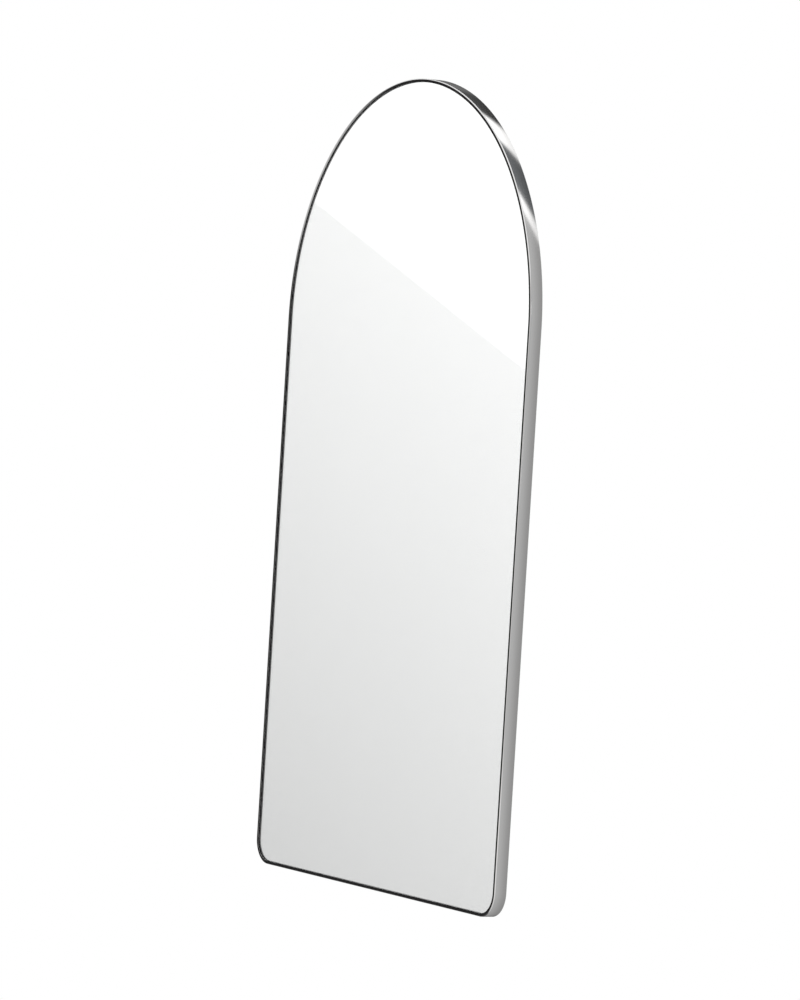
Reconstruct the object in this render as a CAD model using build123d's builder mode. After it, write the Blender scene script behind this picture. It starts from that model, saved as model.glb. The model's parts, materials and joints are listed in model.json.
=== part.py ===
from build123d import *
import math
import os

# An arched wall mirror in a narrow, deep frame of bright stainless steel.
# X runs to the right as seen from the front, Y runs back to the wall and Z runs up.
# The origin lies on the wall, midway between the two wall hooks, where the D-rings bear on them.
# All sizes are in millimetres.

# Overall size
width = 914.4
height = 1524.0

# Frame: one steel strip, bent to an L section and then round the outline
frame_depth = 25.0
sheet = 1.0
lip_width = 6.5
bend_radius = 2.0
corner_radius = 48.0
edge_round = 0.25
seam_gap = 0.3

# Splice plate and rivets that hold the strip's two ends together
splice_length = 64.0
splice_margin = 0.6
splice_thickness = 1.5
rivet_radius = 1.6
rivet_head_radius = 2.9
rivet_head_angle = 120.0
rivet_tail_radius = 2.4
rivet_tail_height = 1.2
rivet_tail_round = 0.9
rivet_pitch = 14.0
rivets_each_side = 2

# Layers behind the lip, from the front backwards
gasket_thickness = 0.5
gasket_setback = 0.5
glass_thickness = 4.0
film_thickness = 0.2
foam_thickness = 1.0
board_thickness = 9.0
edge_gap = 1.5
board_gap = 0.5

# Rubber blocks and spacers between the edge of the glass and the frame
block_length = 60.0
spacer_length = 40.0
block_share = 0.5
side_spacer_shares = {"low": 0.25, "high": 0.75}
arch_spacer_angles = {"left": 130.0, "top": 90.0, "right": 50.0}

# L tabs that hold the board in the frame
tab_width = 20.0
tab_thickness = 1.2
tab_foot = 15.0
tab_setback = 1.7
tab_bend = 0.8
tab_corner = 3.0
tab_hole_inset = 9.0
hole_clearance = 0.15
bottom_tab_share = 0.5
side_tab_shares = {"low": 0.12, "middle": 0.5, "high": 0.9}
arch_tab_angles = {"left": 140.0, "top": 90.0, "right": 40.0}

# Pan-head screws of the tabs and the bumpers
pan_shank_radius = 1.75
pan_head_radius = 3.5
pan_head_height = 2.2
pan_head_round = 1.4
pan_bite = 6.8
tip_length = 2.0
tip_radius = 0.4

# Cross recess in every screw head
cross_width = 0.9
cross_length = 3.8
cross_depth = 1.3

# Hangers: a strap plate with a rolled knuckle, and a wire D-ring that swings in it
hook_drop = 344.0
hook_spacing = 406.4
strap_width = 18.0
strap_thickness = 1.6
strap_length = 60.0
strap_corner = 5.0
strap_hole_spacing = 17.0
strap_first_hole = 11.0
strap_screws = 3
strap_sink_angle = 90.0
hanger_shank_radius = 2.0
hanger_bite = 6.6
wire_radius = 2.0
knuckle_clearance = 0.2
ring_inner_width = 26.0
ring_side = 6.0
ring_corner = 4.0
ring_joint_gap = 0.4

# Rubber bumpers that stand the frame off the wall, and keep the knuckles off it too
wall_gap = 1.0
bumper_base_radius = 10.0
bumper_taper = 8.0
bumper_round = 1.2
bumper_bore_radius = 4.4
bumper_floor = 3.5
bumper_inset = 46.0
upper_bumper_angle = 45.0

# How far a cutting shape runs past what it cuts
overrun = 1.0

# The left and the right of whatever comes in pairs
sides = {"left": -1, "right": 1}

# Where the outline lies
half_width = width / 2
top_z = hook_drop
bottom_z = top_z - height
spring_z = top_z - half_width
side_length = spring_z - bottom_z

# Hanger sizes that follow from the wire and the strap
bore_radius = wire_radius + knuckle_clearance
knuckle_radius = bore_radius + strap_thickness
hanger_height = 2 * knuckle_radius
strap_sink_radius = hanger_shank_radius + strap_thickness * math.tan(
    math.radians(strap_sink_angle / 2)
)

# The recess behind the board, and how far the bumpers reach back from the board to the wall
layers = gasket_thickness + glass_thickness + film_thickness + foam_thickness + board_thickness
recess_height = frame_depth - sheet - layers
bumper_height = max(recess_height, hanger_height) + wall_gap

# Where the layers lie, from the wall forwards
frame_back = recess_height - bumper_height
frame_front = frame_back - frame_depth
lip_back = frame_front + sheet
glass_front = lip_back + gasket_thickness
glass_back = glass_front + glass_thickness
pad_front = max(glass_front, lip_back + bend_radius - sheet)
film_back = glass_back + film_thickness
foam_back = film_back + foam_thickness
board_back = foam_back + board_thickness

# Insets of the outlines from the outside of the frame
glass_inset = sheet + edge_gap
board_inset = sheet + board_gap

os.makedirs("parts", exist_ok=True)


def facing(y):
    """A sketch plane at y that faces the viewer: sketch X runs right and sketch Y runs up."""
    return Plane.XZ.offset(-y)


def rear_seat(x, y, z):
    """A plane on a rear face at this point, looking back at the wall."""
    return Plane(origin=(x, y, z), x_dir=(-1, 0, 0), z_dir=(0, 1, 0))


def arch(inset):
    """The mirror's outline as a flat face, drawn this far inside the outer face of the frame."""
    half = half_width - inset
    bottom = bottom_z + inset
    with BuildSketch(mode=Mode.PRIVATE) as outline:
        with BuildLine():
            FilletPolyline(
                (-half, spring_z),
                (-half, bottom),
                (half, bottom),
                (half, spring_z),
                radius=corner_radius - inset,
            )
            ThreePointArc((half, spring_z), (0, spring_z + half), (-half, spring_z))
        make_face()
    return outline.sketch


def on_arch(degrees):
    """A place on the round top, turned so that its X points outwards."""
    angle = math.radians(degrees)
    x = half_width * math.cos(angle)
    z = spring_z + half_width * math.sin(angle)
    return Location((x, z, 0), (0, 0, degrees))


def on_side(side, share):
    """A place on a straight side, at this share of the way up it, with its X outwards."""
    turn = 0 if side > 0 else 180
    return Location((side * half_width, bottom_z + share * side_length, 0), (0, 0, turn))


def on_bottom(share):
    """A place on the bottom, at this share of half the width from the middle, X outwards."""
    return Location((share * half_width, bottom_z, 0), (0, 0, -90))


def cross_recess(head_top):
    """The cut of a screwdriver cross, sunk from the top of a screw head."""
    with BuildPart(mode=Mode.PRIVATE) as cross:
        with BuildSketch(Plane.XY.offset(head_top)):
            Rectangle(cross_length, cross_width)
            Rectangle(cross_width, cross_length)
        extrude(amount=-cross_depth)
    return cross.part


def pan_screw(grip):
    """A pan-head screw whose head sits on z = 0 and whose shank runs down through the grip."""
    length = grip + pan_bite
    with BuildPart(mode=Mode.PRIVATE) as screw:
        with BuildSketch(Plane.XZ):
            with BuildLine():
                Polyline(
                    (0, pan_head_height),
                    (0, -length),
                    (tip_radius, -length),
                    (pan_shank_radius, tip_length - length),
                    (pan_shank_radius, 0),
                    (pan_head_radius, 0),
                    (pan_head_radius, pan_head_height),
                    close=True,
                )
            make_face()
        revolve(axis=Axis.Z)
        rim = screw.edges().group_by(Axis.Z)[-1]
        fillet(rim, pan_head_round)
        add(cross_recess(pan_head_height), mode=Mode.SUBTRACT)
    return screw.part


def hanger_screw():
    """A countersunk screw whose flat head ends at z = 0, with its cone through the whole strap."""
    length = strap_thickness + hanger_bite
    with BuildPart(mode=Mode.PRIVATE) as screw:
        with BuildSketch(Plane.XZ):
            with BuildLine():
                Polyline(
                    (0, 0),
                    (0, -length),
                    (tip_radius, -length),
                    (hanger_shank_radius, tip_length - length),
                    (hanger_shank_radius, -strap_thickness),
                    (strap_sink_radius, 0),
                    close=True,
                )
            make_face()
        revolve(axis=Axis.Z)
        add(cross_recess(0), mode=Mode.SUBTRACT)
    return screw.part


def finish(piece, name):
    """Label a finished piece and write it under its name."""
    piece.part.label = name
    export_step(piece.part, f"parts/{name}.step")


# Places round the rim for the tabs, the spacers and the setting blocks
tab_places = {}
spacer_places = {}
block_places = {}
for side, sign in sides.items():
    for level, share in side_tab_shares.items():
        tab_places[f"tab_{side}_{level}"] = on_side(sign, share)
    for level, share in side_spacer_shares.items():
        spacer_places[f"spacer_{side}_{level}"] = on_side(sign, share)
    tab_places[f"tab_bottom_{side}"] = on_bottom(sign * bottom_tab_share)
    block_places[f"{side}_setting_block"] = on_bottom(sign * block_share)
for side, angle in arch_tab_angles.items():
    tab_places[f"tab_arch_{side}"] = on_arch(angle)
for side, angle in arch_spacer_angles.items():
    spacer_places[f"spacer_arch_{side}"] = on_arch(angle)

# Places of the bumpers, seen from the front, each a named distance in from the outline
lower_bumper_x = half_width - bumper_inset
lower_bumper_z = bottom_z + bumper_inset
upper_bumper_x = lower_bumper_x * math.cos(math.radians(upper_bumper_angle))
upper_bumper_z = spring_z + lower_bumper_x * math.sin(math.radians(upper_bumper_angle))
bumper_places = {}
for side, sign in sides.items():
    bumper_places[f"upper_{side}_bumper"] = (sign * upper_bumper_x, upper_bumper_z)
    bumper_places[f"lower_{side}_bumper"] = (sign * lower_bumper_x, lower_bumper_z)

# Splice plate and rivets along the bottom, the same number of rivets each side of the seam
splice_depth = recess_height - 2 * splice_margin
splice_y = (board_back + frame_back) / 2
rivet_xs = [
    sign * (step + 0.5) * rivet_pitch
    for sign in sides.values()
    for step in range(rivets_each_side)
]
rivet_seats = [
    Plane(origin=(x, splice_y, bottom_z), x_dir=(1, 0, 0), z_dir=(0, 0, -1)) for x in rivet_xs
]

# Hanger places, with the raised ring bearing on its hook at the origin's height
strap_back = board_back + strap_thickness
pivot_y = strap_back + bore_radius
ring_half_line = ring_inner_width / 2 + wire_radius
ring_reach = ring_corner + ring_side + ring_inner_width / 2
pivot_z = -ring_reach
hanger_hole_zs = [
    pivot_z - strap_first_hole - step * strap_hole_spacing for step in range(strap_screws)
]
hanger_x = hook_spacing / 2


# Frame band: the L section, with a rounded outer bend, round the whole outline
with BuildPart() as frame_band:
    with BuildSketch(facing(frame_back)):
        add(arch(0))
    extrude(amount=frame_depth)
    front_face = frame_band.faces().sort_by(Axis.Y)[0]
    fillet(front_face.edges(), bend_radius)
    with BuildSketch(facing(frame_back)):
        add(arch(sheet))
    extrude(amount=frame_depth - sheet, mode=Mode.SUBTRACT)
    inner_bend = frame_band.edges().filter_by_position(Axis.Y, lip_back, lip_back)
    fillet(inner_bend, bend_radius - sheet)
    with BuildSketch(facing(frame_back)):
        add(arch(lip_width))
    extrude(amount=frame_depth + overrun, mode=Mode.SUBTRACT)
    lip_face = frame_band.faces().filter_by(Axis.Y).sort_by(Axis.Y)[0]
    fillet(lip_face.inner_wires()[0].edges(), edge_round)
    rear_rim = frame_band.faces().filter_by(Axis.Y).sort_by(Axis.Y)[-1]
    fillet(rear_rim.outer_wire().edges(), edge_round)
    with Locations((0, (frame_front + frame_back) / 2, bottom_z)):
        Box(seam_gap, frame_depth + 2 * overrun, 2 * (lip_width + overrun), mode=Mode.SUBTRACT)
    with Locations(*rivet_seats):
        CounterSinkHole(
            rivet_radius, rivet_head_radius, depth=2 * sheet, counter_sink_angle=rivet_head_angle
        )
finish(frame_band, "frame_band")

# Splice plate: a flat steel strip inside the bottom of the frame, behind the board
with BuildPart() as splice_plate:
    with BuildSketch(Plane.XY.offset(bottom_z + sheet)):
        with Locations((0, splice_y)):
            RectangleRounded(splice_length, splice_depth, edge_round)
        with Locations(*[(x, splice_y) for x in rivet_xs]):
            Circle(rivet_radius, mode=Mode.SUBTRACT)
    extrude(amount=splice_thickness)
finish(splice_plate, "splice_plate")

# Splice rivets: a flush head outside, a shank through strip and plate, a domed tail inside
rivet_head_depth = (rivet_head_radius - rivet_radius) / math.tan(
    math.radians(rivet_head_angle / 2)
)
rivet_grip = sheet + splice_thickness
with BuildPart() as rivet:
    with BuildSketch(Plane.XZ):
        with BuildLine():
            Polyline(
                (0, 0),
                (rivet_head_radius, 0),
                (rivet_radius, -rivet_head_depth),
                (rivet_radius, -rivet_grip),
                (rivet_tail_radius, -rivet_grip),
                (rivet_tail_radius, -rivet_grip - rivet_tail_height),
                (0, -rivet_grip - rivet_tail_height),
                close=True,
            )
        make_face()
    revolve(axis=Axis.Z)
    fillet(rivet.edges().group_by(Axis.Z)[0], rivet_tail_round)
with BuildPart() as splice_rivets:
    with Locations(*rivet_seats):
        add(rivet.part)
finish(splice_rivets, "splice_rivets")

# Front gasket: a thin foam strip between the lip and the rim of the glass
with BuildPart() as front_gasket:
    with BuildSketch(facing(glass_front)):
        add(arch(glass_inset))
        add(arch(lip_width - gasket_setback), mode=Mode.SUBTRACT)
    extrude(amount=gasket_thickness)
finish(front_gasket, "front_gasket")

# Mirror glass, with its silvered face at the back
with BuildPart() as mirror_glass:
    with BuildSketch(facing(glass_back)):
        add(arch(glass_inset))
    extrude(amount=glass_thickness)
finish(mirror_glass, "mirror_glass")

# Safety film on the back of the glass
with BuildPart() as safety_film:
    with BuildSketch(facing(film_back)):
        add(arch(glass_inset))
    extrude(amount=film_thickness)
finish(safety_film, "safety_film")

# Cushion foam between the glass and the board
with BuildPart() as cushion_foam:
    with BuildSketch(facing(foam_back)):
        add(arch(glass_inset))
    extrude(amount=foam_thickness)
finish(cushion_foam, "cushion_foam")

# Backing board, with a blind pilot hole for every screw
with BuildPart() as backing_board:
    with BuildSketch(facing(board_back)):
        add(arch(board_inset))
    extrude(amount=board_thickness)
    with BuildSketch(facing(board_back)):
        with Locations(*tab_places.values()):
            with Locations((-tab_hole_inset, 0)):
                Circle(pan_shank_radius)
        with Locations(*bumper_places.values()):
            Circle(pan_shank_radius)
    extrude(amount=pan_bite, mode=Mode.SUBTRACT)
    with BuildSketch(facing(board_back)):
        with Locations(
            *[(sign * hanger_x, z) for sign in sides.values() for z in hanger_hole_zs]
        ):
            Circle(hanger_shank_radius)
    extrude(amount=hanger_bite, mode=Mode.SUBTRACT)
finish(backing_board, "backing_board")

# Setting blocks under the glass, and spacers round its edge, all behind the frame's inner bend
rim_pads = {name: (place, block_length) for name, place in block_places.items()}
rim_pads.update({name: (place, spacer_length) for name, place in spacer_places.items()})
for name, (place, length) in rim_pads.items():
    with BuildPart() as pad:
        with BuildSketch(facing(glass_back)):
            add(arch(sheet))
            add(arch(glass_inset), mode=Mode.SUBTRACT)
            with Locations(place):
                Rectangle(4 * glass_inset, length, mode=Mode.INTERSECT)
        extrude(amount=glass_back - pad_front)
    finish(pad, name)

# L tabs: a leg welded to the inside of the frame, and a foot screwed flat on the board
for name, place in tab_places.items():
    with BuildPart() as tab:
        with BuildSketch(facing(board_back)):
            add(arch(sheet))
            with Locations(place):
                Rectangle(2 * (sheet + tab_foot), tab_width, mode=Mode.INTERSECT)
                with Locations((-tab_hole_inset, 0)):
                    Circle(pan_shank_radius + hole_clearance, mode=Mode.SUBTRACT)
        extrude(amount=-tab_thickness)
        with BuildSketch(facing(board_back)):
            add(arch(sheet))
            add(arch(sheet + tab_thickness), mode=Mode.SUBTRACT)
            with Locations(place):
                Rectangle(2 * (sheet + tab_foot), tab_width, mode=Mode.INTERSECT)
        extrude(amount=-(recess_height - tab_setback))
        rim_point = (place.position.X, board_back + tab_thickness, place.position.Y)
        bend = tab.edges().filter_by_position(
            Axis.Y, board_back + tab_thickness, board_back + tab_thickness
        )
        fillet(bend.sort_by_distance(rim_point)[0], tab_bend)
        foot_corners = tab.edges().filter_by(Axis.Y).sort_by_distance(rim_point)[-2:]
        fillet(foot_corners, tab_corner)
    finish(tab, name)

# Tab screws, one through each foot
with BuildPart() as tab_screws:
    for place in tab_places.values():
        hole = (place * Pos(-tab_hole_inset, 0, 0)).position
        with Locations(rear_seat(hole.X, board_back + tab_thickness, hole.Y)):
            add(pan_screw(tab_thickness))
finish(tab_screws, "tab_screws")

# Hangers, left and right: strap plate, D-ring and screws
for side, sign in sides.items():
    x = sign * hanger_x
    with BuildPart() as hanger_plate:
        with BuildSketch(Plane.YZ.offset(x)):
            with Locations((pivot_y, pivot_z)):
                Circle(knuckle_radius)
                Circle(bore_radius, mode=Mode.SUBTRACT)
                Rectangle(
                    knuckle_radius,
                    knuckle_radius,
                    align=(Align.MAX, Align.MAX),
                    mode=Mode.SUBTRACT,
                )
            with Locations((board_back, pivot_z)):
                Rectangle(strap_thickness, strap_length, align=(Align.MIN, Align.MAX))
        extrude(amount=strap_width / 2, both=True)
        strap_corners = hanger_plate.edges().filter_by(Axis.Y).group_by(Axis.Z)[0]
        fillet(strap_corners, strap_corner)
        with Locations(*[rear_seat(x, strap_back, z) for z in hanger_hole_zs]):
            CounterSinkHole(
                hanger_shank_radius,
                strap_sink_radius,
                depth=2 * strap_thickness,
                counter_sink_angle=strap_sink_angle,
            )
    finish(hanger_plate, f"{side}_hanger_plate")

    with BuildPart() as d_ring:
        with BuildLine(facing(pivot_y)) as loop:
            FilletPolyline(
                (x + ring_joint_gap / 2, pivot_z),
                (x + ring_half_line, pivot_z),
                (x + ring_half_line, pivot_z - ring_corner - ring_side),
                radius=ring_corner,
            )
            ThreePointArc(
                (x + ring_half_line, pivot_z - ring_corner - ring_side),
                (x, pivot_z - ring_corner - ring_side - ring_half_line),
                (x - ring_half_line, pivot_z - ring_corner - ring_side),
            )
            FilletPolyline(
                (x - ring_half_line, pivot_z - ring_corner - ring_side),
                (x - ring_half_line, pivot_z),
                (x - ring_joint_gap / 2, pivot_z),
                radius=ring_corner,
            )
        with BuildSketch(Plane(origin=loop.line @ 0, z_dir=loop.line % 0)):
            Circle(wire_radius)
        sweep(path=loop.line)
    finish(d_ring, f"{side}_d_ring")

    with BuildPart() as hanger_screws:
        for z in hanger_hole_zs:
            with Locations(rear_seat(x, strap_back, z)):
                add(hanger_screw())
    finish(hanger_screws, f"{side}_hanger_screws")

# Rubber bumpers: a tapered stud with a deep bore for its screw
for name, (x, z) in bumper_places.items():
    with BuildPart() as bumper:
        with BuildSketch(rear_seat(x, board_back, z)):
            Circle(bumper_base_radius)
        extrude(amount=bumper_height, taper=bumper_taper)
        fillet(bumper.faces().sort_by(Axis.Y)[-1].edges(), bumper_round)
        with Locations(rear_seat(x, 0, z)):
            CounterBoreHole(
                pan_shank_radius + hole_clearance,
                bumper_bore_radius,
                bumper_height - bumper_floor,
                depth=bumper_height + overrun,
            )
    finish(bumper, name)

# Bumper screws, each at the bottom of its bore
with BuildPart() as bumper_screws:
    for x, z in bumper_places.values():
        with Locations(rear_seat(x, board_back + bumper_floor, z)):
            add(pan_screw(bumper_floor))
finish(bumper_screws, "bumper_screws")
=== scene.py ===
# %% [markdown]
# An arched wall mirror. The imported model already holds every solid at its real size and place,
# so this lesson only dresses it. Pieces that run round the whole outline are drawn again with
# finer curves, because polished steel shows every flat of a coarse curve. The rest keeps its
# mesh and gets a finish.

# %% Load the fixed frame
import json
from math import hypot, radians, tan

import bmesh
import bpy
from mathutils import Matrix, Vector


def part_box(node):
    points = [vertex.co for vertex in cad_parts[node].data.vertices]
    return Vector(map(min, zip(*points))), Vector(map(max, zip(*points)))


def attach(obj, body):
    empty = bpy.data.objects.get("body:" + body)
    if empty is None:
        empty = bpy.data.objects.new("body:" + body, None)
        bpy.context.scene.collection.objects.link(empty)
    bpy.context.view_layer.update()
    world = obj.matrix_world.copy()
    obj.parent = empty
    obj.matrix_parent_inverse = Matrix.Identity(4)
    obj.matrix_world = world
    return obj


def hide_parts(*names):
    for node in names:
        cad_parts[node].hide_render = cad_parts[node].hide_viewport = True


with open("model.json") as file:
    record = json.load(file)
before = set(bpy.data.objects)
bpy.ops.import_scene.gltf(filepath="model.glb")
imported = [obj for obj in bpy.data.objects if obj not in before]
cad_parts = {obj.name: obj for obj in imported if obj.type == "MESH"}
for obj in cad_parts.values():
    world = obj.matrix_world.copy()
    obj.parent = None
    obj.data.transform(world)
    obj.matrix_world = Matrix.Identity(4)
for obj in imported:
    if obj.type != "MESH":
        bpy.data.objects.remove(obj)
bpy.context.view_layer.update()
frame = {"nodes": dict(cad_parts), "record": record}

# %% [markdown]
# The outline is three straight lines, two small corners and a half circle. Every layer of the
# mirror follows it at its own distance inside the steel, so a few lengths describe them all.
# Lengths are in metres. What can be read from the model's boxes is read from there.

# %% Lengths of the outline
low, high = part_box("frame_band")
half_width = high[0]
bottom = low[2]
front, back = low[1], high[1]
height = 1.524
spring = bottom + height - half_width
corner_radius = 0.048
corner_x = half_width - corner_radius
corner_z = bottom + corner_radius
print("outline", round(2 * half_width, 4), "by", height, "m, arch springs at z =", round(spring, 4))

# %% Lengths of the steel strip and the seat of the glass
sheet = 0.001
lip_width = 0.0065
bend_radius = 0.002
edge_round = 0.00025
seam_gap = 0.0003
edge_gap = 0.0015
board_gap = 0.0005
gasket_setback = 0.0005
glass_inset = sheet + edge_gap
board_inset = sheet + board_gap
weld = 0.00001
print("steel", sheet, "m thick, lip", lip_width, "m wide")

# %% [markdown]
# Shader maths is easier to read as arithmetic. A Wire holds one output socket, and the
# operators on it add Math nodes. A Board holds one node tree and adds every other node.

# %% Wires and boards for the node trees
class Wire:
    """An output socket that can be used in sums and products."""

    def __init__(self, board, socket):
        self.board = board
        self.socket = socket

    def __add__(self, other):
        return self.board.maths("ADD", self, other)

    def __sub__(self, other):
        return self.board.maths("SUBTRACT", self, other)

    def __rsub__(self, other):
        return self.board.maths("SUBTRACT", other, self)

    def __mul__(self, other):
        return self.board.maths("MULTIPLY", self, other)


class Board:
    """One node tree, with a method for any node and short forms of the common ones."""

    def __init__(self, tree):
        self.tree = tree
        tree.nodes.clear()

    def node(self, kind, settings, inputs, out=0):
        """A node with these settings and inputs, given back as a wire from one of its outputs."""
        made = self.tree.nodes.new(kind)
        for name, value in settings.items():
            if name == "stops":
                self.fill_ramp(made.color_ramp, value)
            else:
                setattr(made, name, value)
        for name, value in inputs.items():
            socket = next(s for s in made.inputs if s.identifier == name)
            if isinstance(value, Wire):
                self.tree.links.new(value.socket, socket)
            else:
                socket.default_value = value
        return Wire(self, made.outputs[out]) if len(made.outputs) else made

    def fill_ramp(self, ramp, stops):
        """Give a colour ramp its stops, each a place from nought to one and a colour."""
        while len(ramp.elements) < len(stops):
            ramp.elements.new(1)
        for element, (place, colour) in zip(ramp.elements, stops):
            element.position = place
            element.color = (*colour, 1)

    def maths(self, operation, first, second):
        """The result of one operation on two values."""
        inputs = {"Value": first, "Value_001": second}
        return self.node("ShaderNodeMath", {"operation": operation}, inputs)

    def step(self, value, start, end):
        """Nought before start, one after end, and a soft change between them."""
        return self.node(
            "ShaderNodeMapRange",
            {"interpolation_type": "SMOOTHSTEP"},
            {"Value": value, "From Min": start, "From Max": end},
        )

    def mix(self, factor, first, second):
        """One colour turning into another as the factor goes from nought to one."""
        first, second = ((*c, 1) if isinstance(c, tuple) else c for c in (first, second))
        return self.node(
            "ShaderNodeMix",
            {"data_type": "RGBA"},
            {"Factor_Float": factor, "A_Color": first, "B_Color": second},
            out=2,
        )

    def place(self, scale=(1, 1, 1)):
        """Object coordinates in metres, each stretched by its own factor."""
        where = self.node("ShaderNodeTexCoord", {}, {}, out=3)
        return self.node("ShaderNodeMapping", {}, {"Vector": where, "Scale": scale})

    def noise(self, size, detail=2.0, scale=(1, 1, 1)):
        """Noise from nought to one, with patches about this size in metres."""
        inputs = {"Vector": self.place(scale), "Scale": 1 / size, "Detail": detail}
        return self.node("ShaderNodeTexNoise", {}, inputs)

    def axes(self, vector):
        """The three parts of a vector."""
        self.node("ShaderNodeSeparateXYZ", {}, {"Vector": vector})
        parts = self.tree.nodes[-1].outputs
        return [Wire(self, socket) for socket in parts]


# %% [markdown]
# A polished thing looks like what stands around it, so the room is the most important part of
# this picture. The sky here is a drawing of a photo studio by direction: pale in front, dark to
# the lower left, and soft strips of dark and white overhead, behind the mirror, which the round
# top of the frame picks up. The camera itself sees plain white.

# %% Room that the steel reflects
scene = bpy.context.scene
scene.view_settings.view_transform = "Standard"
world = bpy.data.worlds.new("studio")
scene.world = world
world.use_nodes = True
room = Board(world.node_tree)
heading = room.node("ShaderNodeTexCoord", {}, {})
right_part, back_part, up_part = room.axes(heading)


def shade(level, warmth=0.0):
    """A grey of this level, a little warm or cold."""
    return (level * (1 + warmth), level, level * (1 - warmth))


overhead_stops = [
    (-180, shade(0.03)),
    (-166, shade(0.03)),
    (-135, shade(0.34)),
    (-100, shade(0.42)),
    (-10, shade(0.50)),
    (52, shade(0.52)),
    (54, shade(1.5)),
    (61, shade(1.5)),
    (65, shade(0.17, -0.05)),
    (93, shade(0.15, -0.04)),
    (98, shade(1.6)),
    (113, shade(1.6)),
    (118, shade(0.06)),
    (141, shade(0.08)),
    (150, shade(0.20)),
    (168, shade(0.13)),
    (175, shade(0.35)),
    (178, shade(0.95)),
    (180, shade(0.95)),
]
slant = 0.44
steel_line = 0.496
turn_round = room.maths("ARCTAN2", up_part, right_part) * (0.5 / radians(180)) + 0.5
strips = room.node(
    "ShaderNodeValToRGB",
    {"stops": [(0.5 + degrees / 360, colour) for degrees, colour in overhead_stops]},
    {"Fac": turn_round + (back_part - steel_line) * slant},
)
pale = room.mix(room.step(up_part, -0.6, 0.9), shade(0.74, 0.01), shade(1.0))
low_right = room.step(right_part, 0.15, 0.55) * room.step(up_part, -0.09, -0.07)
pale = room.mix(low_right * room.step(up_part, 0.5, 0.2), pale, shade(0.50))
to_left = room.step(right_part, -0.02, -0.30)
dark_top = room.step(back_part, -0.10, -0.35) * 0.4
below = room.step(up_part - dark_top, 0.035, 0.0)
front_half = room.mix(to_left * below, pale, shade(0.07))
surround = room.mix(room.step(back_part, 0.10, 0.30), front_half, strips)
print("sky strips:", len(overhead_stops))

# %% White for the camera, the drawn room for everything else
camera_ray = room.node("ShaderNodeLightPath", {}, {})
sky = room.node("ShaderNodeBackground", {}, {"Color": room.mix(camera_ray, surround, shade(1.0))})
room.node("ShaderNodeOutputWorld", {}, {"Surface": sky})
print("world nodes:", len(world.node_tree.nodes))

# %% [markdown]
# The camera stands far to the right with a long lens, a little above the middle of the mirror,
# and is rolled by a few degrees. Its place is an aim point on the mirror plus a distance along
# the line of sight, which keeps the angles readable.

# %% Camera at the picture's angle
azimuth = radians(60.28)
elevation = radians(1.52)
roll = radians(3.53)
aim = Vector((0.0267, front, -0.4452))
distance = 9.363
lens = 180.1

turned = (
    Matrix.Rotation(azimuth, 4, "Z")
    @ Matrix.Rotation(radians(90) - elevation, 4, "X")
    @ Matrix.Rotation(roll, 4, "Z")
)
line_of_sight = Vector((turned[0][2], turned[1][2], turned[2][2]))
camera_data = bpy.data.cameras.new("camera")
camera_data.lens = lens
camera = bpy.data.objects.new("camera", camera_data)
camera.matrix_world = Matrix.Translation(aim + distance * line_of_sight) @ turned
scene.collection.objects.link(camera)
scene.camera = camera
print("camera at", [round(v, 3) for v in camera.matrix_world.translation])

# %% [markdown]
# New meshes start as one vertex and grow: a run extrudes it along a line, a bend spins it round
# a centre. The finished profile is then carried round the mirror's outline in the same two ways,
# so the straight parts stay truly straight and the round parts truly round.

# %% Pen for profiles
CORNER_STEPS = 24
ARCH_STEPS = 240
EDGE_STEPS = 3
OUTER_BEND_STEPS = 10
INNER_BEND_STEPS = 6


def run(bm, vert, move):
    """Draw a straight line from a vertex and return its end."""
    end = bmesh.ops.extrude_vert_indiv(bm, verts=[vert])["verts"][0]
    end.co += Vector(move)
    return end


def bend(bm, vert, centre, degrees, steps):
    """Draw an arc in the YZ plane from a vertex and return its end."""
    made = bmesh.ops.spin(
        bm, geom=[vert], cent=centre, axis=(1, 0, 0), angle=radians(degrees), steps=steps
    )
    return next(g for g in made["geom_last"] if isinstance(g, bmesh.types.BMVert))


# %% Carrying a profile round the outline
def slide(bm, edges, move):
    """Extrude a profile's edges along a straight line and return the new ones."""
    made = bmesh.ops.extrude_edge_only(bm, edges=edges)["geom"]
    verts = {g for g in made if isinstance(g, bmesh.types.BMVert)}
    bmesh.ops.translate(bm, verts=list(verts), vec=move)
    new_edges = [g for g in made if isinstance(g, bmesh.types.BMEdge)]
    return [e for e in new_edges if verts.issuperset(e.verts)]


def swing(bm, edges, centre, degrees, steps):
    """Spin a profile's edges about a line along Y, from the right towards the top."""
    verts = list({v for e in edges for v in e.verts})
    made = bmesh.ops.spin(
        bm, geom=verts + edges, cent=centre, axis=(0, -1, 0), angle=radians(degrees), steps=steps
    )
    return [g for g in made["geom_last"] if isinstance(g, bmesh.types.BMEdge)]


def carry_round(bm, edges, start=0.0):
    """Take a profile at x = start, on the bottom line, right round the outline to x = -start."""
    edges = slide(bm, edges, (corner_x - start, 0, 0))
    edges = swing(bm, edges, (corner_x, 0, corner_z), 90, CORNER_STEPS)
    edges = slide(bm, edges, (0, 0, spring - corner_z))
    edges = swing(bm, edges, (0, 0, spring), 180, ARCH_STEPS)
    edges = slide(bm, edges, (0, 0, corner_z - spring))
    edges = swing(bm, edges, (-corner_x, 0, corner_z), 90, CORNER_STEPS)
    return slide(bm, edges, (corner_x - start, 0, 0))


print("arch in", ARCH_STEPS, "steps")

# %% [markdown]
# Each finished mesh becomes an object here. The weighted normals make a flat face shade flat
# right up to its rounded edge, which keeps reflections in polished steel clean.

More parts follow.
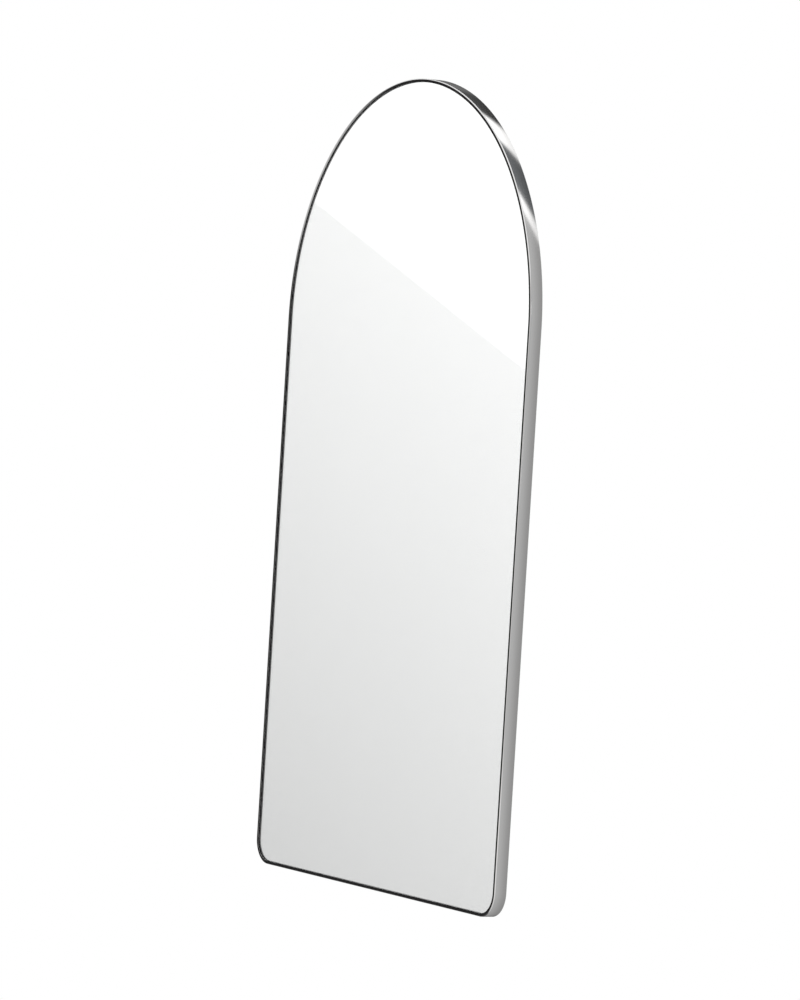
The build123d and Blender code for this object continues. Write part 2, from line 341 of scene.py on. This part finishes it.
# %% From mesh to piece
def make_piece(bm, name, body, slot, *nodes):
    """Close a bmesh into an object that rides on a body and stands for CAD nodes."""
    bmesh.ops.recalc_face_normals(bm, faces=bm.faces)
    for face in bm.faces:
        face.smooth = True
    mesh = bpy.data.meshes.new(name)
    bm.to_mesh(mesh)
    bm.free()
    piece = bpy.data.objects.new(name, mesh)
    scene.collection.objects.link(piece)
    even = piece.modifiers.new("even_normals", "WEIGHTED_NORMAL")
    even.mode = "FACE_AREA"
    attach(piece, body)
    if nodes:
        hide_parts(*nodes)
    print(name, len(mesh.polygons), "faces")
    return piece


# %% [markdown]
# The frame is one strip of stainless steel, rolled to an L and bent round the outline, with its
# two ends meeting at the middle of the bottom. The profile is drawn at that seam: up the outer
# wall, round the bend, along the lip, and back inside. It stops short of the middle by half the
# gap, and both ends are capped, so the seam is real.

# %% Frame band
def band_profile(bm, x):
    """The L section of the steel strip at this x, as a closed loop of edges."""
    lip_back = front + sheet
    inner_radius = bend_radius - sheet
    first = bm.verts.new((x, back, bottom + sheet))
    vert = run(bm, first, (0, 0, edge_round - sheet))
    vert = bend(bm, vert, (x, back - edge_round, bottom + edge_round), -90, EDGE_STEPS)
    vert = run(bm, vert, (0, front + bend_radius - vert.co.y, 0))
    vert = bend(bm, vert, (x, front + bend_radius, bottom + bend_radius), -90, OUTER_BEND_STEPS)
    vert = run(bm, vert, (0, 0, lip_width - edge_round - bend_radius))
    lip_round_z = bottom + lip_width - edge_round
    vert = bend(bm, vert, (x, front + edge_round, lip_round_z), -90, EDGE_STEPS)
    vert = run(bm, vert, (0, lip_back - vert.co.y, 0))
    vert = run(bm, vert, (0, 0, bend_radius - lip_width))
    inner_centre = (x, lip_back + inner_radius, bottom + bend_radius)
    vert = bend(bm, vert, inner_centre, 90, INNER_BEND_STEPS)
    bm.edges.new((vert, first))
    return list(bm.edges)


band_mesh = bmesh.new()
seam_x = seam_gap / 2
first_end = band_profile(band_mesh, seam_x)
last_end = carry_round(band_mesh, first_end, seam_x)
bmesh.ops.edgeloop_fill(band_mesh, edges=first_end)
bmesh.ops.edgeloop_fill(band_mesh, edges=last_end)
bmesh.ops.recalc_face_normals(band_mesh, faces=band_mesh.faces)
print("strip:", len(band_mesh.faces), "faces")

# %% [markdown]
# The strip is polished, but the cut edge that shows along the inside of the lip is dull, and
# so are the rear edge and the two ends. Their near-black colour is a painted dark reflection.
# These faces get the second material slot.

# %% Edges of the strip that get the painted dark reflection
def depth_inside(x, z):
    """How far inside the outline a point lies."""
    if z > spring:
        return half_width - hypot(x, z - spring)
    over, under = abs(x) - corner_x, corner_z - z
    if over > 0 and under > 0:
        return corner_radius - hypot(over, under)
    return min(half_width - abs(x), z - bottom)


# Slot for the edges whose colour is painted near black, a painted dark reflection.
painted_dark_edge_slot = 1
for face in band_mesh.faces:
    middle = face.calc_center_median()
    at_lip = depth_inside(middle.x, middle.z) > lip_width - edge_round / 4
    lip_edge = at_lip and abs(face.normal.y) < 0.5
    rear_edge = face.normal.y > 0.9 and middle.y > back - edge_round / 4
    strip_end = abs(face.normal.x) > 0.9 and abs(middle.x) < seam_gap
    if lip_edge or rear_edge or strip_end:
        face.material_index = painted_dark_edge_slot
print("sheared faces:", sum(face.material_index == painted_dark_edge_slot for face in band_mesh.faces))

# %% [markdown]
# Four countersunk rivets hold the seam to a plate behind it. Their heads are flush, so the strip
# needs the matching holes, or steel and rivet would share one plane and flicker. A Boolean with
# four spun cutters makes them.

# %% Cutters for the rivet holes
rivet_low, rivet_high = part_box("splice_rivets")
rivet_y = (rivet_low[1] + rivet_high[1]) / 2
rivet_radius = 0.0016
rivet_head_radius = (rivet_high[1] - rivet_low[1]) / 2
rivet_pitch = 0.014
rivet_count = 4
rivet_head_angle = 120
rivet_turn_steps = 48
rivet_cone = (rivet_head_radius - rivet_radius) / tan(radians(rivet_head_angle / 2))

cutter_mesh = bmesh.new()
for place in range(rivet_count):
    x = (place - (rivet_count - 1) / 2) * rivet_pitch
    first = cutter_mesh.verts.new((x, rivet_y, bottom - sheet))
    vert = run(cutter_mesh, first, (rivet_head_radius, 0, 0))
    vert = run(cutter_mesh, vert, (0, 0, sheet))
    vert = run(cutter_mesh, vert, (rivet_radius - rivet_head_radius, 0, rivet_cone))
    vert = run(cutter_mesh, vert, (0, 0, sheet))
    run(cutter_mesh, vert, (-rivet_radius, 0, 0))
    profile = [e for e in cutter_mesh.edges if not e.link_faces]
    corners = list({v for e in profile for v in e.verts})
    bmesh.ops.spin(
        cutter_mesh, geom=corners + profile, cent=(x, rivet_y, 0), axis=(0, 0, 1),
        angle=radians(360), steps=rivet_turn_steps, use_merge=True,
    )
bmesh.ops.remove_doubles(cutter_mesh, verts=cutter_mesh.verts, dist=weld)
bmesh.ops.recalc_face_normals(cutter_mesh, faces=cutter_mesh.faces)
print("cutters:", rivet_count, "with", len(cutter_mesh.faces), "faces")


# %% Drilling the strip
def cut_holes(bm, cutter_bm):
    """Take one bmesh out of another with a Boolean and return the result as a new bmesh."""
    objects = []
    for name, part in (("blank", bm), ("cutters", cutter_bm)):
        mesh = bpy.data.meshes.new(name)
        part.to_mesh(mesh)
        part.free()
        objects.append(bpy.data.objects.new(name, mesh))
        scene.collection.objects.link(objects[-1])
    blank, cutters = objects
    holes = blank.modifiers.new("holes", "BOOLEAN")
    holes.object = cutters
    drilled = bmesh.new()
    drilled.from_object(blank, bpy.context.evaluated_depsgraph_get())
    for piece in objects:
        bpy.data.objects.remove(piece)
    return drilled


band_mesh = cut_holes(band_mesh, cutter_mesh)
frame_strip = make_piece(band_mesh, "frame_strip", "mirror", "polished_steel", "frame_band")

# %% [markdown]
# The glass is 4 mm float glass, silvered behind. What we see is mostly the silver, but seen
# from the side the thickness of the glass sets it back from the steel lip, which gives the dark
# line inside the frame. So the pane is clear glass, and the silver is its own thin layer.

# %% Flat layers behind the lip
def make_slab(name, nodes, inset, near, far, arris, slot):
    """A sheet that fills the outline at this inset, from y = near to y = far, edges eased."""
    bm = bmesh.new()
    vert = bm.verts.new((0, near, bottom + inset + arris))
    if arris:
        vert = run(bm, vert, (0, arris, -arris))
    vert = run(bm, vert, (0, far - near - 2 * arris, 0))
    if arris:
        run(bm, vert, (0, arris, arris))
    carry_round(bm, list(bm.edges))
    bmesh.ops.remove_doubles(bm, verts=bm.verts, dist=weld)
    rims = [e for e in bm.edges if e.is_boundary]
    near_rim = [e for e in rims if e.verts[0].co.y < (near + far) / 2]
    far_rim = [e for e in rims if e.verts[0].co.y > (near + far) / 2]
    bmesh.ops.edgeloop_fill(bm, edges=near_rim)
    bmesh.ops.edgeloop_fill(bm, edges=far_rim)
    return make_piece(bm, name, "mirror", slot, *nodes)


glass_low, glass_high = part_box("mirror_glass")
glass_front, glass_back = glass_low[1], glass_high[1]
silver_depth = 0.00003
glass_arris = 0.0003
pane = make_slab(
    "glass_pane", ["mirror_glass"], glass_inset, glass_front, glass_back - 2 * silver_depth,
    glass_arris, "mirror_glass",
)
silver = make_slab(
    "silver_coat", [], glass_inset, glass_back - silver_depth, glass_back, 0, "mirror_glass",
)

# %% Film, foam and board
sheets = {}
for name, node, inset, arris, slot in (
    ("film_sheet", "safety_film", glass_inset, 0.00004, "safety_film"),
    ("foam_sheet", "cushion_foam", glass_inset, 0.0002, "white_foam"),
    ("board_panel", "backing_board", board_inset, 0.0006, "fibreboard"),
):
    low_corner, high_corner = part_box(node)
    sheets[name] = make_slab(name, [node], inset, low_corner[1], high_corner[1], arris, slot)

# %% Gasket between the lip and the glass
gasket_low, gasket_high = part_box("front_gasket")
gasket_width = lip_width - gasket_setback - glass_inset
gasket_mesh = bmesh.new()
first = gasket_mesh.verts.new((0, gasket_low[1], bottom + glass_inset))
gasket_depth = gasket_high[1] - gasket_low[1]
vert = run(gasket_mesh, first, (0, gasket_depth, 0))
vert = run(gasket_mesh, vert, (0, 0, gasket_width))
vert = run(gasket_mesh, vert, (0, -gasket_depth, 0))
gasket_mesh.edges.new((vert, first))
carry_round(gasket_mesh, list(gasket_mesh.edges))
bmesh.ops.remove_doubles(gasket_mesh, verts=gasket_mesh.verts, dist=weld)
gasket = make_piece(gasket_mesh, "gasket_tape", "mirror", "black_foam", "front_gasket")

# %% [markdown]
# Every finish below starts from the same principled surface. Only its colour, roughness and
# small bumps change over the surface. Constant values stay on the sockets.

# %% Common surface
def start_finish(name):
    """A new material and the board of its nodes."""
    material = bpy.data.materials.new(name)
    material.use_nodes = True
    return material, Board(material.node_tree)


def end_finish(board, bump=None, bump_depth=0.0, **sockets):
    """Close a material: the principled surface with these values, and a bump if there is one."""
    inputs = {name.replace("_", " "): value for name, value in sockets.items()}
    if bump:
        inputs["Normal"] = board.node(
            "ShaderNodeBump", {}, {"Height": bump, "Distance": bump_depth, "Strength": 1.0}
        )
    surface = board.node("ShaderNodeBsdfPrincipled", {}, inputs)
    board.node("ShaderNodeOutputMaterial", {}, {"Surface": surface})


# %% Polished steel of the frame
polished, board = start_finish("polished_steel")
across = board.axes(board.place())[1]
wall = board.maths("GREATER_THAN", across, front + bend_radius)
# The base colour darkens from the front of the wall to its rear edge: painted shade standing in for the
# darker reflection there.
painted_shade_to_back = board.step(across, front, back)
grain = board.noise(0.02, 3.0, (0.4, 60, 0.4))
cloud = board.noise(0.12)
tone = board.mix(painted_shade_to_back, shade(0.86, 0.004), shade(0.54, 0.010))
tone = board.mix(grain * 0.16 * wall, tone, shade(0.55))
tone = board.mix(cloud * 0.08, tone, shade(0.70))
crown = 1.2
off_middle = across - (front + back) / 2
bulge = off_middle * off_middle * -crown
end_finish(
    board,
    bump=(bulge + grain * 0.000003) * wall,
    bump_depth=1.0,
    Base_Color=tone,
    Metallic=1.0,
    Roughness=wall * 0.05 + grain * 0.04 + 0.02,
)

# %% Sheared edges of the steel, painted near black as a painted dark reflection
painted_dark_edge_steel, board = start_finish("sheared_steel_painted_dark")
streaks = board.noise(0.0008, 3.0)
# The near-black base colour is a painted dark reflection; the streaks are the grain of the cut.
tone = board.mix(streaks, shade(0.07), shade(0.13))
end_finish(
    board, bump=streaks, bump_depth=0.00002, Base_Color=tone, Metallic=1.0,
    Roughness=streaks * 0.2 + 0.35,
)

# %% Clear glass and silver
clear, board = start_finish("clear_glass")
tint = board.mix(board.noise(0.3), (0.991, 0.995, 0.993), (0.995, 0.998, 0.996))
end_finish(board, Base_Color=tint, Roughness=0.0, IOR=1.52, Transmission_Weight=1.0)

silvered, board = start_finish("silver_coat")
bright = board.mix(board.noise(0.25), (0.952, 0.953, 0.952), (0.963, 0.964, 0.963))
end_finish(board, Base_Color=bright, Metallic=1.0, Roughness=0.0)
print("glass finishes made")

# %% Mill-finish steel of the tabs and the splice
plain, board = start_finish("plain_steel")
grain = board.noise(0.0012, 3.0, (1, 1, 0.06))
blotch = board.noise(0.018, 4.0)
tone = board.mix(blotch, shade(0.52, 0.01), shade(0.66, -0.005))
tone = board.mix(grain * 0.3, tone, shade(0.42))
end_finish(
    board, bump=grain, bump_depth=0.00003, Base_Color=tone, Metallic=1.0,
    Roughness=grain * 0.18 + blotch * 0.10 + 0.28,
)

# %% Zinc plating of the hangers and the screws
def zinc(name, level):
    """Bright zinc: silvery, with a faint blue and straw bloom."""
    material, board = start_finish(name)
    bloom = board.noise(0.012, 3.0)
    fine = board.noise(0.0006, 2.0)
    tone = board.mix(bloom, (level * 0.94, level, level * 1.10), (level * 1.08, level, level * 0.88))
    tone = board.mix(fine * 0.25, tone, shade(level * 0.72))
    end_finish(
        board, bump=fine, bump_depth=0.00002, Base_Color=tone, Metallic=1.0,
        Roughness=fine * 0.15 + bloom * 0.10 + 0.20,
    )
    return material


zinc_plate = zinc("zinc_plate", 0.70)
zinc_screw = zinc("zinc_screw", 0.62)
print("zinc finishes made")

# %% Rubber of the bumpers, blocks and spacers
rubber, board = start_finish("black_rubber")
pores = board.noise(0.0004, 3.0)
dust = board.noise(0.006, 3.0)
tone = board.mix(dust, shade(0.022), shade(0.040))
tone = board.mix(pores * 0.4, tone, shade(0.060))
end_finish(
    board, bump=pores, bump_depth=0.00008, Base_Color=tone,
    Roughness=pores * 0.15 + dust * 0.12 + 0.55,
)

# %% Fibreboard
fibre, board = start_finish("fibreboard")
strands = board.noise(0.0016, 5.0, (1, 1, 0.35))
flecks = board.step(board.noise(0.0011, 2.0, (0.5, 1, 1)), 0.62, 0.72)
cloud = board.noise(0.09, 3.0)
tone = board.mix(strands, (0.36, 0.235, 0.135), (0.58, 0.42, 0.27))
tone = board.mix(cloud * 0.5, tone, (0.47, 0.33, 0.20))
tone = board.mix(flecks * 0.55, tone, (0.20, 0.12, 0.07))
end_finish(
    board, bump=strands, bump_depth=0.00012, Base_Color=tone,
    Roughness=strands * 0.15 + cloud * 0.10 + 0.50,
)

# %% Foam and film
def foam(name, dark, light, cell):
    """Closed-cell foam: small round cells, matt."""
    material, board = start_finish(name)
    cells = board.node(
        "ShaderNodeTexVoronoi", {}, {"Vector": board.place(), "Scale": 1 / cell}
    )
    tone = board.mix(cells, light, dark)
    end_finish(board, bump=1 - cells, bump_depth=cell / 6, Base_Color=tone, Roughness=cells * 0.1 + 0.8)
    return material


white_foam = foam("white_foam", shade(0.74, 0.01), shade(0.88, 0.01), 0.0009)
black_foam = foam("black_foam", shade(0.015), shade(0.035), 0.0006)

film, board = start_finish("safety_film")
threads = board.noise(0.0005, 2.0, (1, 1, 0.1)) * board.noise(0.0005, 2.0, (0.1, 1, 1))
tone = board.mix(threads, (0.62, 0.65, 0.68), (0.80, 0.82, 0.84))
end_finish(board, bump=threads, bump_depth=0.00004, Base_Color=tone, Roughness=threads * 0.2 + 0.45)

# %% Give every piece its finish
finish_of = {
    "polished_steel": polished,
    "plain_steel": plain,
    "zinc_plate": zinc_plate,
    "zinc_screw": zinc_screw,
    "black_rubber": rubber,
    "fibreboard": fibre,
    "white_foam": white_foam,
    "black_foam": black_foam,
    "safety_film": film,
    "mirror_glass": clear,
}
for row in frame["record"]["subparts"]:
    slots = frame["nodes"][row["node"]].data.materials
    slots.clear()
    slots.append(finish_of[row["material_slot"]])
for piece, material in (
    (frame_strip, polished), (pane, clear), (silver, silvered), (gasket, black_foam),
    (sheets["film_sheet"], film), (sheets["foam_sheet"], white_foam), (sheets["board_panel"], fibre),
):
    piece.data.materials.append(material)
# Second slot: the edge steel, painted near black as a painted dark reflection.
frame_strip.data.materials.append(painted_dark_edge_steel)
print("finishes:", len(bpy.data.materials))

# %% [markdown]
# In the picture the glass is bright while the steel beside it, facing the same way, is almost
# black. One reflector panel does both: it glows only for the glass, through light linking, and
# is a dark card for the steel. Its glow falls from the top to the bottom, and its upper right
# part is cut off by a slanted edge. A second panel, clear to look through, glows only for the
# steel, where the lip is grey instead of black.

# %% Panels across the mirrored line of sight
mirrored = Matrix.Diagonal((1, -1, 1, 1)) @ turned
side_way = mirrored.col[0].to_3d()
up_way = mirrored.col[1].to_3d()
away = -mirrored.col[2].to_3d()
seen_point = Vector((aim.x, glass_front, aim.z))
panel_scale = Vector((1.0, 1.8, 1.0))


def hang_panel(name, distance, *lit_pieces):
    """A tall panel this far out along the mirrored sight line, lighting only these pieces."""
    bm = bmesh.new()
    bmesh.ops.create_grid(bm, x_segments=1, y_segments=1, size=1.0)
    bmesh.ops.scale(bm, vec=panel_scale, verts=bm.verts)
    mesh = bpy.data.meshes.new(name)
    bm.to_mesh(mesh)
    bm.free()
    panel = bpy.data.objects.new(name, mesh)
    turn = Matrix((side_way, up_way, away)).transposed().to_4x4()
    panel.matrix_world = Matrix.Translation(seen_point + distance * away) @ turn
    scene.collection.objects.link(panel)
    panel.visible_camera = False
    panel.visible_diffuse = False
    panel.visible_shadow = False
    receivers = bpy.data.collections.new(name + "_receivers")
    for piece in lit_pieces:
        receivers.objects.link(piece)
    panel.light_linking.receiver_collection = receivers
    print(name, "lights", len(lit_pieces), "pieces")
    return panel


glass_panel_distance = 3.0
lip_panel_distance = 2.9
glass_panel = hang_panel("reflector", glass_panel_distance, pane, silver)
lip_panel = hang_panel("lip_reflector", lip_panel_distance, frame_strip)

# %% Glow for the glass
glow, board = start_finish("reflector")
across, upward, _ = board.axes(board.place())
glow_middle = 0.855
glow_across = 0.162
glow_upward = 0.174
edge_slope = 0.80
edge_height = 0.551
edge_blur = 0.02
fade = across * glow_across + upward * glow_upward + glow_middle
beyond = board.step(upward + across * edge_slope, edge_height - edge_blur, edge_height + edge_blur)
beyond_level = 1.1
level = board.maths("MAXIMUM", fade, beyond * beyond_level)
glow_gain = 1.50
lit = board.node("ShaderNodeEmission", {}, {"Color": (1, 1, 1, 1), "Strength": level * glow_gain})
unlit = board.node("ShaderNodeBsdfTransparent", {}, {})
leak = 0.30
card = board.node("ShaderNodeMixShader", {}, {"Fac": leak, "Shader": lit, "Shader_001": unlit})
board.node("ShaderNodeOutputMaterial", {}, {"Surface": card})
glass_panel.data.materials.append(glow)

# %% Glow for the lip
lip_glow, board = start_finish("lip_reflector")
across, upward, _ = board.axes(board.place())
lip_gain = 0.50
high_left = board.step(upward, 0.50, 0.72) * board.step(across, -0.02, -0.16)
lit = board.node("ShaderNodeEmission", {}, {"Color": (1, 1, 1, 1), "Strength": high_left * lip_gain})
see_through = board.node("ShaderNodeBsdfTransparent", {}, {})
both = board.node("ShaderNodeAddShader", {}, {"Shader": lit, "Shader_001": see_through})
board.node("ShaderNodeOutputMaterial", {}, {"Surface": both})
lip_panel.data.materials.append(lip_glow)

# %% [markdown]
# The floor lies below the mirror, which hangs, and fades out before the picture's edge. One
# large soft lamp behind and above shapes the back. Steel and glass don't mirror either of them.

# %% Floor and lamp
floor_drop = 0.55
floor_radius = 3.2
floor_segments = 96
floor_mesh = bmesh.new()
bmesh.ops.create_circle(
    floor_mesh, segments=floor_segments, radius=floor_radius, cap_ends=True,
    matrix=Matrix.Translation((0, 0, bottom - floor_drop)),
)
floor_data = bpy.data.meshes.new("floor")
floor_mesh.to_mesh(floor_data)
floor_mesh.free()
floor = bpy.data.objects.new("floor", floor_data)
scene.collection.objects.link(floor)
paint, board = start_finish("pale_floor")
spread = board.node(
    "ShaderNodeVectorMath", {"operation": "LENGTH"}, {"Vector": board.place((1, 1, 0))}, out=1
)
fade_start, fade_end = 0.7, 2.1
seen = board.step(spread, fade_end, fade_start)
tone = board.mix(board.noise(0.5), shade(0.86), shade(0.90))
end_finish(board, Base_Color=tone, Roughness=0.8, Alpha=seen)
floor_data.materials.append(paint)
floor.visible_glossy = False

lamp_data = bpy.data.lights.new("soft_lamp", "AREA")
lamp_data.energy = 70
lamp_data.shape = "DISK"
lamp_data.size = 2.2
lamp = bpy.data.objects.new("soft_lamp", lamp_data)
lamp_place = Vector((-1.6, 3.2, 2.6))
lamp.matrix_world = Matrix.Translation(lamp_place) @ (
    (lamp_place - aim).to_track_quat("Z", "Y").to_matrix().to_4x4()
)
lamp.visible_glossy = False
scene.collection.objects.link(lamp)
print("floor and lamp stand")
